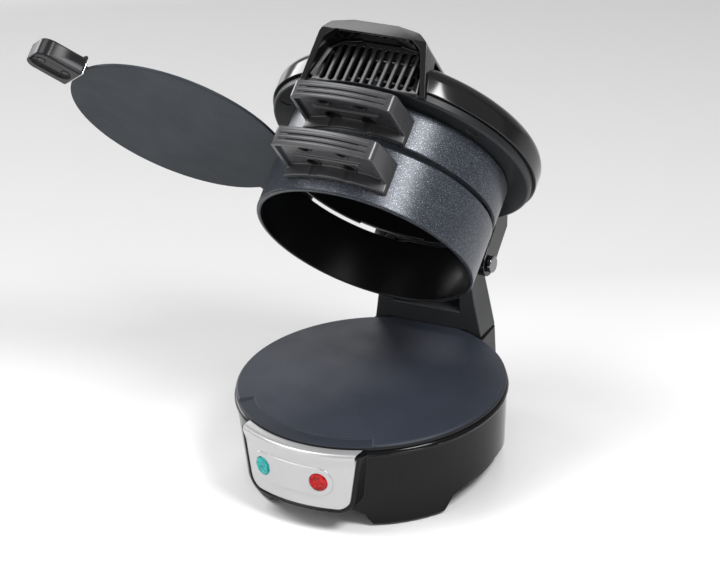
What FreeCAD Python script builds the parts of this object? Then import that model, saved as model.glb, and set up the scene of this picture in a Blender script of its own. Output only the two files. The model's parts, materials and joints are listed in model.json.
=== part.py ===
"""Electric burger maker: a round countertop cooker with two hinged rings, a swing-out plate and a hinged lid.

Millimetres, +Z up, front towards -Y. The origin is on the floor, under the middle of the lower cooking face.
Everything that opens is drawn closed and then set to its resting pose: the stack tilted back about the rear
hinge, and the cooking plate swung out to the side.
"""

import FreeCAD
import Part
import Sketcher
import math
import os
import re
from FreeCAD import Placement, Rotation, Vector

DRIVING = {
    # Base
    "cooktop_height": 47.0,
    "cooktop_radius": 68.0,
    "cooktop_thickness": 2.8,
    "cooktop_bevel": 1.2,
    "relief_radius": 60.0,
    "relief_depth": 0.9,
    "relief_start": -140.0,
    "relief_sweep": 78.0,
    "cooktop_overhang": 1.4,
    "housing_draft": 1.6,
    "housing_wall": 2.6,
    "housing_band": 3.2,
    "foot_lift": 1.2,
    "pad_height": 3.0,
    "pad_width": 7.0,
    "front_foot_angle": 49.0,
    "rear_foot_angle": 121.0,
    "foot_spread": 27.0,
    "side_arch_half": 35.0,
    "side_arch_height": 14.0,
    "front_arch_half": 30.0,
    "front_arch_height": 10.0,
    "floor_height": 9.0,
    "floor_thickness": 2.0,
    "cover_radius": 54.0,
    "cover_screw_circle": 49.0,
    # Front panel
    "panel_angle": -95.0,
    "nose_radius": 73.6,
    "nose_half_top": 34.5,
    "nose_half_low": 30.0,
    "nose_low": 12.0,
    "nose_corner": 9.0,
    "bezel": 1.7,
    "panel_thickness": 1.6,
    "panel_inset": 0.5,
    "panel_fit": 0.15,
    "lamp_height": 28.4,
    "lamp_radius": 4.7,
    "lamp_centre_angle": -97.0,
    "lamp_half_angle": 13.0,
    "lamp_proud": 1.0,
    "emboss_radius": 7.6,
    "emboss_rise": 0.5,
    # Hinge
    "hinge_y": 73.1,
    "hinge_height": 83.0,
    "pin_radius": 2.5,
    "pin_clearance": 0.05,
    "knuckle_radius": 5.5,
    "inner_knuckle": 7.5,
    "side_gap": 0.3,
    "outer_knuckle": 10.6,
    "cheek": 6.8,
    "ear": 6.5,
    "ear_radius": 6.6,
    "tower_foot_half": 30.5,
    "tower_front": 64.0,
    "tower_back": 81.0,
    "tower_head": 7.8,
    "fork_floor": 57.0,
    "tower_shoulder": 62.0,
    "tower_neck": 74.0,
    "cover_lap": 2.0,
    "cover_top_drop": 9.0,
    "tower_screw_height": 50.0,
    "open_angle": 53.0,
    # Rings
    "ring_inner_radius": 54.0,
    "ring_wall": 2.5,
    "seat_gap": 0.3,
    "lower_ring_height": 30.6,
    "upper_ring_height": 20.9,
    "ring_edge": 0.7,
    "blade_thickness": 3.5,
    "blade_start": 57.3,
    "socket_wall": 3.0,
    "socket_end": 64.0,
    "socket_clearance": 0.3,
    "lower_blade_rise": 18.7,
    "upper_blade_rise": 7.9,
    "slot_relief": 1.1,
    "slot_start": 88.0,
    "slot_sweep": 36.0,
    # Ring handles
    "handle_half": 27.3,
    "handle_reach": 80.3,
    "handle_root": 48.0,
    "handle_corner": 3.0,
    "handle_bow": 20.0,
    "handle_top": 2.4,
    "handle_edge": 2.6,
    "lower_root_low_rise": 6.3,
    "lower_root_high_rise": 24.4,
    "lower_tip_low_rise": 10.7,
    "lower_tip_high_rise": 19.6,
    "upper_root_low_rise": 0.6,
    "upper_root_high_rise": 15.6,
    "upper_tip_low_rise": 4.4,
    "upper_tip_high_rise": 13.0,
    "root_bar": 3.4,
    "recess_depth": 1.6,
    "rib_half": 17.5,
    "rib_y": 67.6,
    "groove_depth": 0.6,
    "groove_width": 0.8,
    "handle_screw_x": 9.8,
    "rear_screw_y": 61.6,
    "front_screw_y": 74.5,
    # Cooking plate
    "plate_radius": 58.5,
    "plate_thickness": 1.6,
    "plate_clearance": 0.3,
    "pivot_radius": 70.5,
    "pivot_angle": 158.6,
    "pivot_pin_radius": 3.0,
    "swing_angle": 100.7,
    "tongue_half": 7.0,
    "hub_side": 21.0,
    "hub_corner": 4.0,
    "hub_height": 4.2,
    "bracket_height": 8.6,
    "grip_angle": -30.3,
    "grip_start": 62.0,
    "grip_end": 84.5,
    "grip_half": 10.6,
    "grip_drop": 5.4,
    "grip_rise": 2.4,
    "grip_corner": 6.0,
    "guard_rise": 1.5,
    "neck_half": 8.0,
    "neck_end": 67.0,
    # Lid
    "lid_rim_radius": 67.5,
    "lid_rim_height": 4.7,
    "rim_floor": 2.6,
    "rim_inner": 53.8,
    "lid_radius": 69.3,
    "lid_wall": 2.4,
    "lid_shoulder_drop": 9.0,
    "lid_crown_rise": 22.2,
    "lid_shoulder_radius": 8.0,
    "hood_half_low": 34.0,
    "hood_half_shoulder": 29.0,
    "hood_half_crown": 24.0,
    "hood_half_top": 12.0,
    "hood_rise": 27.2,
    "hood_lip": 5.8,
    "hood_reach": 71.8,
    "hood_foot": 61.5,
    "hood_wall": 2.9,
    "hood_soft": 6.0,
    "ceiling_climb": 2.1,
    "sill": 0.9,
    "grille_front": 60.5,
    "grille_thickness": 2.2,
    "grille_lean": 2.4,
    "grille_frame": 1.3,
    "slot_count": 11,
    "slot_pitch": 4.7,
    "slot_width": 2.7,
    "slot_length": 21.2,
    "heater_radius": 53.2,
    "heater_thickness": 2.5,
    "element_radius": 37.0,
    "element_tube": 3.3,
}

DERIVED = {
    "housing_top_radius": "cooktop_radius - cooktop_overhang",
    "housing_foot_radius": "housing_top_radius - housing_draft",
    "ring_radius": "ring_inner_radius + ring_wall",
    "cooktop_base": "cooktop_height - cooktop_thickness",
    "lower_ring_base": "cooktop_height + seat_gap",
    "lower_ring_top": "lower_ring_base + lower_ring_height",
    "plate_base": "lower_ring_top + plate_clearance",
    "plate_top": "plate_base + plate_thickness",
    "upper_ring_base": "plate_top + plate_clearance",
    "upper_ring_top": "upper_ring_base + upper_ring_height",
    "lid_base": "upper_ring_top + seat_gap",
    "lower_blade_height": "lower_ring_base + lower_blade_rise",
    "upper_blade_height": "upper_ring_base + upper_blade_rise",
    "lower_root_low": "lower_ring_base + lower_root_low_rise",
    "lower_root_high": "lower_ring_base + lower_root_high_rise",
    "lower_tip_low": "lower_ring_base + lower_tip_low_rise",
    "lower_tip_high": "lower_ring_base + lower_tip_high_rise",
    "upper_root_low": "upper_ring_base + upper_root_low_rise",
    "upper_root_high": "upper_ring_base + upper_root_high_rise",
    "upper_tip_low": "upper_ring_base + upper_tip_low_rise",
    "upper_tip_high": "upper_ring_base + upper_tip_high_rise",
    "grip_low": "plate_base - grip_drop",
    "grip_high": "plate_top + grip_rise",
    "lid_seam": "lid_base + lid_rim_height",
    "lid_crown": "lid_seam + lid_crown_rise",
    "hood_top": "lid_seam + hood_rise",
    "mouth_top": "hood_top - hood_lip",
    "heater_base": "lid_base + seat_gap",
    "heater_top": "lid_base + rim_floor + 1.4",
    "grille_foot": "lid_base + rim_floor + 1.2",
    "bore_radius": "pin_radius + pin_clearance",
    "outer_start": "inner_knuckle + side_gap",
    "fork_half": "outer_start + outer_knuckle + side_gap",
    "tower_half": "fork_half + cheek",
    "cover_half": "fork_half + cover_lap",
    "tower_screw_x": "cover_half + 3.6",
    "ear_start": "tower_half + side_gap",
    "ear_end": "ear_start + ear",
    "housing_inner": "housing_foot_radius - housing_wall",
    "pad_outer": "housing_inner + 0.4",
    "pad_inner": "pad_outer - pad_width",
    "panel_radius": "nose_radius - panel_inset",
    "hub_base": "plate_top",
    "bracket_base": "plate_top + hub_height + plate_clearance",
    "retainer_base": "plate_base - hub_height",
}

doc = FreeCAD.newDocument("BurgerMaker")
sheet = doc.addObject("Spreadsheet::Sheet", "Sizes")
for row, (alias, content) in enumerate({**DRIVING, **DERIVED}.items(), 1):
    sheet.set(f"A{row}", alias)
    sheet.set(f"B{row}", f"={content}" if isinstance(content, str) else str(content))
    sheet.setAlias(f"B{row}", alias)
doc.recompute()
ALIASES = set(DRIVING) | set(DERIVED)


def size(alias):
    return worth(alias)


def formula(text):
    """A formula in the sheet's aliases, written so that any object of the document can use it."""
    return re.sub(r"[a-z_]+", lambda m: "Sizes." + m.group() if m.group() in ALIASES else m.group(), str(text))


def bind(thing, path, text):
    thing.setExpression(path, formula(text))


def at(thing, x="0", y="0", z="0", turn=None):
    """Moves a primitive to a bound position, after an optional turn (axis, degrees)."""
    if turn:
        thing.Placement = Placement(Vector(), Rotation(turn[0], turn[1]))
    for letter, text in zip("xyz", (x, y, z)):
        bind(thing, f"Placement.Base.{letter}", text)
    return thing


ALONG_X = (Vector(0, 1, 0), 90)
ALONG_Y = (Vector(1, 0, 0), -90)


def cylinder(radius, height, x="0", y="0", z="0", turn=None, angle=None):
    thing = doc.addObject("Part::Cylinder", "Cylinder")
    bind(thing, "Radius", radius)
    bind(thing, "Height", height)
    if angle:
        bind(thing, "Angle", angle)
    return at(thing, x, y, z, turn)


def box(x0, x1, y0, y1, z0, z1):
    """A box between two bound corners."""
    thing = doc.addObject("Part::Box", "Box")
    bind(thing, "Length", f"({x1}) - ({x0})")
    bind(thing, "Width", f"({y1}) - ({y0})")
    bind(thing, "Height", f"({z1}) - ({z0})")
    return at(thing, x0, y0, z0)


def fuse(*things):
    if len(things) == 1:
        return things[0]
    thing = doc.addObject("Part::MultiFuse", "Fuse")
    thing.Shapes = list(things)
    thing.Refine = True
    return thing


def cut(base, *tools):
    thing = doc.addObject("Part::Cut", "Cut")
    thing.Base = base
    thing.Tool = fuse(*tools)
    return thing


def common(first, second):
    thing = doc.addObject("Part::Common", "Common")
    thing.Base = first
    thing.Tool = second
    return thing


def group(*things):
    thing = doc.addObject("Part::Compound", "Group")
    thing.Links = list(things)
    return thing


def spun(thing, angle):
    """The thing turned about the Z axis by a bound angle."""
    holder = group(thing)
    holder.Placement = Placement(Vector(), Rotation(Vector(0, 0, 1), 1))
    bind(holder, "Placement.Rotation.Angle", angle)
    return holder


def rounded(thing, radius, chosen):
    """Fillets the edges that the test picks."""
    doc.recompute()
    fillet = doc.addObject("Part::Fillet", "Fillet")
    fillet.Base = thing
    fillet.Edges = [(i, radius, radius) for i, e in enumerate(thing.Shape.Edges, 1) if chosen(e)]
    return fillet


def is_straight(edge):
    reach = (edge.Vertexes[-1].Point - edge.Vertexes[0].Point).Length
    return abs(edge.Length - reach) < 1e-6


def is_round(edge, radius, height):
    """True for a circle or arc about the Z axis at a radius and a height."""
    return not is_straight(edge) and all(
        abs(math.hypot(q.x, q.y) - radius) < 0.05 and abs(q.z - height) < 0.05 for q in edge.discretize(3))


def runs_along(direction, where=lambda middle: True):
    """Picks straight edges that run along a direction and whose middle passes a test."""
    def chosen(edge):
        if len(edge.Vertexes) != 2 or not is_straight(edge):
            return False
        run = edge.Vertexes[1].Point - edge.Vertexes[0].Point
        middle = (edge.Vertexes[1].Point + edge.Vertexes[0].Point) * 0.5
        return run.cross(direction).Length < 1e-6 * run.Length and where(middle)
    return chosen


def outline(body, plane, points):
    """A closed sketch on one of the body's own planes, each corner bound to its two formulas."""
    sketch = body.newObject("Sketcher::SketchObject", "Outline")
    sketch.AttachmentSupport = [(next(f for f in body.Origin.OriginFeatures if f.Role == plane), "")]
    sketch.MapMode = "FlatFace"
    probe = [[worth(text) for text in point] for point in points]
    count = len(points)
    for i in range(count):
        sketch.addGeometry(Part.LineSegment(Vector(*probe[i], 0), Vector(*probe[(i + 1) % count], 0)))
    for i in range(count):
        sketch.addConstraint(Sketcher.Constraint("Coincident", i, 2, (i + 1) % count, 1))
    for i in range(count):
        for kind, value, text in zip(("DistanceX", "DistanceY"), probe[i], points[i]):
            k = sketch.addConstraint(Sketcher.Constraint(kind, -1, 1, i, 1, value))
            sketch.setExpression(f"Constraints[{k}]", formula(text))
    return sketch


def worth(text):
    """The present worth of a formula, asked of the sheet itself."""
    return float(sheet.evalExpression(str(text)))


def turned(points):
    """A body turned about the Z axis from an outline in (radius, height)."""
    body = doc.addObject("PartDesign::Body", "Body")
    sketch = outline(body, "XZ_Plane", points)
    turn = body.newObject("PartDesign::Revolution", "Revolution")
    turn.Profile = sketch
    turn.ReferenceAxis = (sketch, ["V_Axis"])
    turn.Angle = 360
    return body


def padded(plane, points, length):
    """A body padded to both sides of one of its planes."""
    body = doc.addObject("PartDesign::Body", "Body")
    sketch = outline(body, plane, points)
    pad = body.newObject("PartDesign::Pad", "Pad")
    pad.Profile = sketch
    pad.SideType = "Symmetric"
    bind(pad, "Length", length)
    return body


def polar(radius, angle):
    return f"({radius}) * cos({angle})", f"({radius}) * sin({angle})"


nodes = {}


def node(label, thing, body="base"):
    """Names a finished sub-part and files it under the body that it moves with."""
    holder = group(thing)
    holder.Label = label
    nodes[label] = (holder, body)


# Base housing: one moulding with the foot lobes, the front nose and the ledge that carries the hinge tower

def nose_face(inset):
    """The front panel's outline, extruded through the nose: straight top, sides drawn in, round lower corners."""
    low, top = f"nose_low + {inset}", f"cooktop_base - 0.4 - {inset}"
    wide, slim = f"nose_half_top - {inset}", f"nose_half_low - {inset}"
    body = padded("XZ_Plane", [(f"-({slim})", low), (slim, low), (wide, top), (f"-({wide})", top)], "4 * nose_radius")
    low_edge = runs_along(Vector(0, 1, 0), lambda middle: middle.z < size("nose_low") + 8)
    return rounded(body, size("nose_corner") - inset, low_edge)


def sector(radius, start, sweep, low, high):
    """A pie slice of a disc between two heights."""
    return spun(cylinder(radius, f"({high}) - ({low})", z=low, angle=sweep), start)


def ring_sector(inner, outer, start, sweep, low, high):
    return cut(sector(outer, start, sweep, low, high), cylinder(inner, f"({high}) - ({low}) + 2", z=f"({low}) - 1"))


def nose_slice(radius, inset, low, high):
    """The part of the nose inside a radius and an inset of its outline."""
    slice_ = sector(radius, "-32", "64", low, high)
    return spun(common(slice_, spun(nose_face(inset), "90")), "panel_angle")


wall_low = "foot_lift"
band_low = "cooktop_base - housing_band"
shell = turned([("housing_inner", wall_low), ("housing_foot_radius", wall_low), ("housing_top_radius", band_low),
                ("housing_top_radius + 0.8", f"{band_low} + 0.6"), ("housing_top_radius + 0.8", "cooktop_base"),
                ("housing_inner", "cooktop_base")])
floor_ring = cut(cylinder("housing_inner + 1", "floor_thickness", z="floor_height"),
                 cylinder("cover_radius - 8", "floor_thickness + 2", z="floor_height - 1"))
nose = cut(nose_slice("nose_radius", 0, "nose_low - 1", "cooktop_base"),
           cylinder("housing_inner", "cooktop_base + 1"))
rear_ledge = cut(box("-tower_foot_half - 0.8", "tower_foot_half + 0.8", "housing_inner - 30", "tower_back + 1",
                     "front_arch_height", "cooktop_base"),
                 cylinder("housing_inner", "cooktop_base + 1"))
rear_ledge = rounded(rear_ledge, 4.0, runs_along(Vector(0, 0, 1), lambda middle: middle.y > size("tower_back")))


def foot_angles():
    return ["-front_foot_angle", "-180 + front_foot_angle", "rear_foot_angle", "180 - rear_foot_angle"]


foot_blocks = [ring_sector("pad_inner - 1", "housing_inner + 1", f"{angle} - foot_spread / 2", "foot_spread",
                           "pad_height", "floor_height + 1") for angle in foot_angles()]
cover_bosses = [cylinder("4", "10", *polar("cover_screw_circle", angle), "floor_height")
                for angle in ("45", "135", "225", "315")]
side_arch = padded("YZ_Plane", [("-side_arch_half", "-1"), ("side_arch_half", "-1"),
                                ("side_arch_half - 6", "side_arch_height * 0.6"),
                                ("side_arch_half - 20", "side_arch_height * 0.9"), ("0", "side_arch_height"),
                                ("20 - side_arch_half", "side_arch_height * 0.9"),
                                ("6 - side_arch_half", "side_arch_height * 0.6")], "4 * cooktop_radius")
front_arch = common(padded("XZ_Plane", [("-front_arch_half", "-1"), ("front_arch_half", "-1"),
                                        ("front_arch_half - 5", "front_arch_height * 0.7"),
                                        ("front_arch_half - 11", "front_arch_height"),
                                        ("11 - front_arch_half", "front_arch_height"),
                                        ("5 - front_arch_half", "front_arch_height * 0.7")], "4 * cooktop_radius"),
                    box("-cooktop_radius", "cooktop_radius", "-2 * cooktop_radius", "0", "-2", "cooktop_height"))
rear_arch = box("-15", "15", "0", "2 * cooktop_radius", "-2", "front_arch_height")
panel_seat = cut(nose_slice("nose_radius + 1", 1.7, "nose_low - 1", "cooktop_base"),
                 cylinder("panel_radius - panel_thickness", "cooktop_base + 1"))
nose_hollow = nose_slice("panel_radius - panel_thickness - 2", 4.0, "nose_low - 1", "cooktop_base")
lamp_angles = {"ready": "lamp_centre_angle - lamp_half_angle", "power": "lamp_centre_angle + lamp_half_angle"}


def lamp_rod(radius, start, length, angle):
    """A round bar that points out of the front panel at a lamp."""
    return spun(cylinder(radius, length, start, "0", "lamp_height", ALONG_X), angle)


lamp_ways = [lamp_rod("lamp_radius + 1", "housing_inner - 8", "30", angle) for angle in lamp_angles.values()]
cord_hole = cylinder("4.6", "20", "16", "tower_back - 10", "22", ALONG_Y)
inside = fuse(floor_ring, *foot_blocks, *cover_bosses)
screw_ways = [cylinder("1.4", "14", *polar("cover_screw_circle", angle), "floor_height - 1")
              for angle in ("45", "135", "225", "315")]
housing = cut(fuse(cut(fuse(shell, nose, rear_ledge), side_arch, front_arch, rear_arch), inside),
              panel_seat, nose_hollow, *lamp_ways, cord_hole, *screw_ways)
node("base_housing", housing)

# Bottom cover, its screws and the rubber pads

vents = [spun(box("14", "34", "-1.3", "1.3", "0", "floor_height + 5"), str(30 * k)) for k in range(12)]
cover = cut(cylinder("cover_radius", "floor_thickness", z="floor_height - floor_thickness"), *vents,
            *[cylinder("1.8", "20", *polar("cover_screw_circle", angle)) for angle in ("45", "135", "225", "315")])
node("base_bottom_cover", cover)


def cover_screw(angle):
    head_base = "floor_height - floor_thickness - 1.6"
    return fuse(cylinder("3", "1.6", *polar("cover_screw_circle", angle), head_base),
                cylinder("1.35", "10", *polar("cover_screw_circle", angle), head_base))


node("cover_screws", group(*[cover_screw(angle) for angle in ("45", "135", "225", "315")]))
pads = [ring_sector("pad_inner", "pad_outer - 0.6", f"{angle} - foot_spread / 2 + 1.5", "foot_spread - 3",
                    "0", "pad_height") for angle in foot_angles()]
node("rubber_feet", group(*pads))

# Front panel with its two lamps

panel = cut(nose_slice("panel_radius", 1.85, "nose_low - 1", "cooktop_base - 0.5"),
            cylinder("panel_radius - panel_thickness + panel_fit", "cooktop_base + 1"))
stadium_span = "panel_radius * sin(lamp_half_angle)"


def stadium(radius, outer):
    """A long rounded bar through the panel round both lamps."""
    ends = [lamp_rod(radius, "panel_radius - 4", outer, angle) for angle in lamp_angles.values()]
    between = spun(sector(f"panel_radius - 4 + {outer}", "-lamp_half_angle", "2 * lamp_half_angle",
                          f"lamp_height - ({radius})", f"lamp_height + {radius}"), "lamp_centre_angle")
    return fuse(cut(between, cylinder("panel_radius - 4", "cooktop_height")), *ends)


raised = cut(common(stadium("emboss_radius", "4 + emboss_rise"),
                    cylinder("panel_radius + emboss_rise", "cooktop_base")),
             cylinder("panel_radius - 0.8", "cooktop_height"))
panel = cut(fuse(panel, raised),
            *[lamp_rod("lamp_radius + 0.1", "panel_radius - 6", "12", angle) for angle in lamp_angles.values()])
node("control_panel", panel)

lens_tip = "panel_radius + lamp_proud"


def lens(angle):
    """A cap with a shallow dome, a flange behind the panel and a bore for the neon lamp."""
    whole = fuse(lamp_rod("lamp_radius", "69.7", f"{lens_tip} - 69.7", angle),
                 lamp_rod("lamp_radius + 0.8", "69.7", "1.6", angle))
    return cut(whole, lamp_rod("3.3", "69", f"{lens_tip} - 70.2", angle))


node("ready_lamp_lens", lens(lamp_angles["ready"]))
node("power_lamp_lens", lens(lamp_angles["power"]))
holder_span = "lamp_half_angle + 8"
holder = spun(ring_sector("66.2", "69.3", f"-({holder_span})", f"2 * ({holder_span})", "lamp_height - 7",
                          "lamp_height + 7"), "lamp_centre_angle")
holder_plate = cut(holder, *[lamp_rod("2.3", "60", "12", angle) for angle in lamp_angles.values()])
node("lamp_holder", holder_plate)
neons = group(*[lamp_rod("2.3", "62.5", "9", angle) for angle in lamp_angles.values()])
node("neon_lamps", neons)

# Lower cooking face with what hangs under it

channel = ring_sector("element_radius + 1 - 5", "element_radius + 1 + 5", "0", "360", "cooktop_base - 2.4",
                      "cooktop_base")
element_height = "cooktop_base - element_tube"


def element_ring(radius, height):
    """The sheathed element bent to a ring, its round tube pressed to six flats in the casting."""
    corners = [(1, 0), (0.5, 0.87), (-0.5, 0.87), (-1, 0), (-0.5, -0.87), (0.5, -0.87)]
    return turned([(f"{radius} + element_tube * {u}", f"{height} + element_tube * {v}") for u, v in corners])


lower_turn = element_ring("element_radius + 1", element_height)


def terminals(circle, low, high):
    return [cylinder("1.5", f"({high}) - ({low})", *polar(circle, angle), low) for angle in ("80", "100")]


lower_element = fuse(lower_turn, *terminals("element_radius + 1", "30", element_height))
cooktop = turned([("0", "cooktop_base"), ("cooktop_radius", "cooktop_base"),
                  ("cooktop_radius", "cooktop_height - cooktop_bevel"),
                  ("cooktop_radius - cooktop_bevel", "cooktop_height"), ("0", "cooktop_height")])
relief = ring_sector("relief_radius", "cooktop_radius + 1", "relief_start", "relief_sweep",
                     "cooktop_height - relief_depth", "cooktop_height + 1")
stud_angles = ("30", "150", "270")
studs = [cylinder("4", "cooktop_base - 35.8", *polar("50", angle), "35.8") for angle in stud_angles]


def shield_screw(angle):
    return fuse(cylinder("1.4", "5.4", *polar("50", angle), "33.5"), cylinder("3", "1.5", *polar("50", angle), "33.5"))


shield_screws = group(*[shield_screw(angle) for angle in stud_angles])
node("lower_heating_plate", cut(fuse(cut(cooktop, relief), channel, *studs), lower_element, shield_screws))
node("lower_heating_element", lower_element)
shield = turned([("9.5", "35"), ("58", "35"), ("58", "cooktop_base"), ("57.2", "cooktop_base"), ("57.2", "35.8"),
                 ("9.5", "35.8")])
node("lower_heat_shield", cut(shield, *terminals("element_radius + 1", "20", "60"), shield_screws,
                              *[cylinder("2.3", "9", *polar("element_radius + 1", a), "30") for a in ("80", "100")]))
node("shield_screws", shield_screws)
thermostat = fuse(cylinder("8", "7", z="cooktop_base - 7"), box("-6.5", "-4.5", "-3", "3", "30", "38"),
                  box("4.5", "6.5", "-3", "3", "30", "38"))
node("thermostat", thermostat)
cutout = fuse(cylinder("2.5", "11", "8", "20", "32.5", ALONG_X), box("11", "16", "17", "23", "34.4", "35"))
node("thermal_fuse", cutout)
block = cut(box("-14", "14", "49", "59", "floor_height + floor_thickness", "22"),
            *[cylinder("1.6", "6", str(x), "54", "18") for x in (-9, -3, 3, 9)])
node("terminal_block", block)


def wire(thickness, *points):
    """A wire in straight runs through points chosen by hand."""
    corners = [Vector(*p) for p in points]
    profile = Part.Wire([Part.makeCircle(thickness, corners[0], corners[1] - corners[0])])
    thing = doc.addObject("Part::Feature", "Wire")
    thing.Shape = Part.makePolygon(corners).makePipeShell([profile], True, True, 1)
    return thing


base_wires = [wire(1.1, (-9, 54, 19), (-9, 52, 27), (-6.6, 39, 28.9), (-6.6, 38, 29.9)),
              wire(1.1, (-3, 54, 19), (-3, 50, 25), (4, 22, 31.8), (7.9, 20, 32.0)),
              wire(1.1, (9, 54, 19), (9, 52, 27), (6.6, 39, 28.9), (6.6, 38, 29.9)),
              wire(1.1, (19, 20, 32), (21, 14, 29), (9, 2, 28), (5.5, 0, 29.9)),
              wire(1.0, (3, 54, 19), (1, 48, 15), (-18, -30, 15), (-20, -54, 22), (-19.6, -57.5, 28.4))]
node("base_wiring", cut(group(*base_wires), lower_element, thermostat, cutout, block, neons, holder_plate, cover))

# Hinge tower, pin and cord bush

tower_profile = [("tower_front", "cooktop_base"), ("tower_back", "cooktop_base"), ("tower_back", "tower_shoulder"),
                 ("hinge_y + tower_head", "hinge_height - 4"), ("hinge_y + tower_head", "hinge_height"),
                 ("hinge_y - tower_head", "hinge_height"), ("tower_front", "tower_shoulder")]
tower_face = [("-tower_foot_half", "cooktop_base"), ("tower_foot_half", "cooktop_base"),
              ("tower_half + 2", "tower_shoulder"), ("tower_half", "tower_neck"),
              ("tower_half", "hinge_height + 20"), ("-tower_half", "hinge_height + 20"),
              ("-tower_half", "tower_neck"), ("-tower_half - 2", "tower_shoulder")]
head = cylinder("tower_head", "2 * tower_half", "-tower_half", "hinge_y", "hinge_height", ALONG_X)
tower_side = fuse(padded("YZ_Plane", tower_profile, "2 * tower_foot_half"), head)
tower = common(tower_side, padded("XZ_Plane", tower_face, "4 * cooktop_radius"))
tower_room = box("-fork_half + 1", "fork_half - 1", "cooktop_radius + 2.5", "tower_back + 1", "cooktop_base - 1",
                 "fork_floor - 2.4")
tower_screw_x = ("tower_screw_x", "-tower_screw_x")
tower_screw_ways = [cylinder("1.6", "14", x, "tower_back - 6", "tower_screw_height", ALONG_Y) for x in tower_screw_x]


def pin_bore(start, length):
    return cylinder("bore_radius", length, start, "hinge_y", "hinge_height", ALONG_X)


cooktop_room = cylinder("cooktop_radius + 0.3", "cooktop_thickness + 0.3", z="cooktop_base")
fork = box("-fork_half", "fork_half", "tower_front - 30", "tower_back - 1.2", "fork_floor", "hinge_height + 20")
fork_mouth = box("-fork_half", "fork_half", "tower_front - 30", "tower_back + 20", "hinge_height - cover_top_drop",
                 "hinge_height + 20")
back_seat = box("-cover_half", "cover_half", "tower_back - 1.2", "tower_back + 5", "cooktop_base - 1",
                "hinge_height - cover_top_drop")
node("hinge_tower", cut(tower, fork, fork_mouth, tower_room, cooktop_room, back_seat, pin_bore("-40", "80"),
                        *tower_screw_ways))
back_cover = box("-cover_half + panel_fit", "cover_half - panel_fit", "tower_back - 1.2", "tower_back + 0.4",
                 "cooktop_base + 0.2", "hinge_height - cover_top_drop - panel_fit")
node("tower_back_cover", back_cover)


def tower_screw(x):
    return fuse(cylinder("3", "1.6", x, "tower_back", "tower_screw_height", ALONG_Y),
                cylinder("1.6", "6", x, "tower_back - 6", "tower_screw_height", ALONG_Y))


node("tower_screws", group(*[tower_screw(x) for x in tower_screw_x]))
pin_end = "ear_end + side_gap"
node("hinge_pin", cylinder("pin_radius", f"2 * ({pin_end})", f"-({pin_end})", "hinge_y", "hinge_height", ALONG_X))
node("pin_caps", group(cylinder("4.4", "2.4", pin_end, "hinge_y", "hinge_height", ALONG_X),
                       cylinder("4.4", "2.4", f"-({pin_end}) - 2.4", "hinge_y", "hinge_height", ALONG_X)))
node("cord_bush", cut(fuse(cylinder("4.6", "11", "16", "tower_back - 6", "22", ALONG_Y),
                           cylinder("6.4", "3", "16", "tower_back + 1", "22", ALONG_Y)),
                      cylinder("3", "20", "16", "tower_back - 8", "22", ALONG_Y)))

# Hinge brackets: a knuckle on the pin, an arm and a flat blade that the ring's socket slides over


def knuckle(start, length):
    return cylinder("knuckle_radius", length, start, "hinge_y", "hinge_height", ALONG_X)


def blade(height):
    return box("-7", "7", "blade_start", "socket_end + 4", f"{height} - blade_thickness / 2",
               f"{height} + blade_thickness / 2")


lower_arm = padded("YZ_Plane", [("socket_end + 0.4", "lower_blade_height - 3.4"),
                                ("hinge_y - 1.5", "lower_blade_height - 3.4"), ("hinge_y + 4.6", "hinge_height - 3"),
                                ("hinge_y - 5.2", "hinge_height - 1.5"),
                                ("socket_end + 2.8", "lower_blade_height + 3.4"),
                                ("socket_end + 0.4", "lower_blade_height + 3.4")], "2 * inner_knuckle")
node("lower_hinge_bracket", cut(fuse(lower_arm, knuckle("-inner_knuckle", "2 * inner_knuckle"),
                                     blade("lower_blade_height")), pin_bore("-20", "40")), "lower_bracket")

upper_arm = padded("YZ_Plane", [("socket_end + 0.4", "upper_blade_height - 3.4"),
                                ("hinge_y - 6.4", "upper_blade_height - 3.4"), ("hinge_y - 4.6", "hinge_height - 3"),
                                ("hinge_y + 4.6", "hinge_height + 3"),
                                ("hinge_y - 1", "upper_blade_height + 3.4"),
                                ("socket_end + 0.4", "upper_blade_height + 3.4")],
                   "2 * (outer_start + outer_knuckle)")
arm_gap = box("-inner_knuckle - side_gap", "inner_knuckle + side_gap", "hinge_y - 6.3", "hinge_y + 20",
              "hinge_height - 20", "hinge_height + 20")
knuckles = [knuckle("outer_start", "outer_knuckle"), knuckle("-outer_start - outer_knuckle", "outer_knuckle")]
node("upper_hinge_bracket", cut(fuse(cut(upper_arm, arm_gap), *knuckles, blade("upper_blade_height")),
                                pin_bore("-20", "40")), "upper_bracket")

# Rings with their rear sockets and front lugs


def ring_tube(low, high):
    return turned([("ring_inner_radius", low), ("ring_radius - ring_edge", low), ("ring_radius", f"{low} + ring_edge"),
                   ("ring_radius", f"{high} - ring_edge"), ("ring_radius - ring_edge", high),
                   ("ring_inner_radius", high)])


def socket(height):
    half = "blade_thickness / 2 + socket_clearance"
    block_ = box("-7 - socket_clearance - socket_wall", "7 + socket_clearance + socket_wall", "ring_inner_radius",
                 "socket_end", f"{height} - {half} - socket_wall", f"{height} + {half} + socket_wall")
    hollow = box("-7 - socket_clearance", "7 + socket_clearance", "ring_radius + 0.5", "socket_end + 1",
                 f"{height} - ({half})", f"{height} + {half}")
    return cut(block_, cylinder("ring_inner_radius + 0.5", "200"), hollow)


def lug_top(root, tip):
    """The height of the front lugs' tops, a top wall's depth under the handle's sloping back."""
    share = "(67 - handle_root) / (handle_reach - handle_root)"
    return f"({root} - ({root} - {tip}) * {share} - handle_top)"


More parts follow.
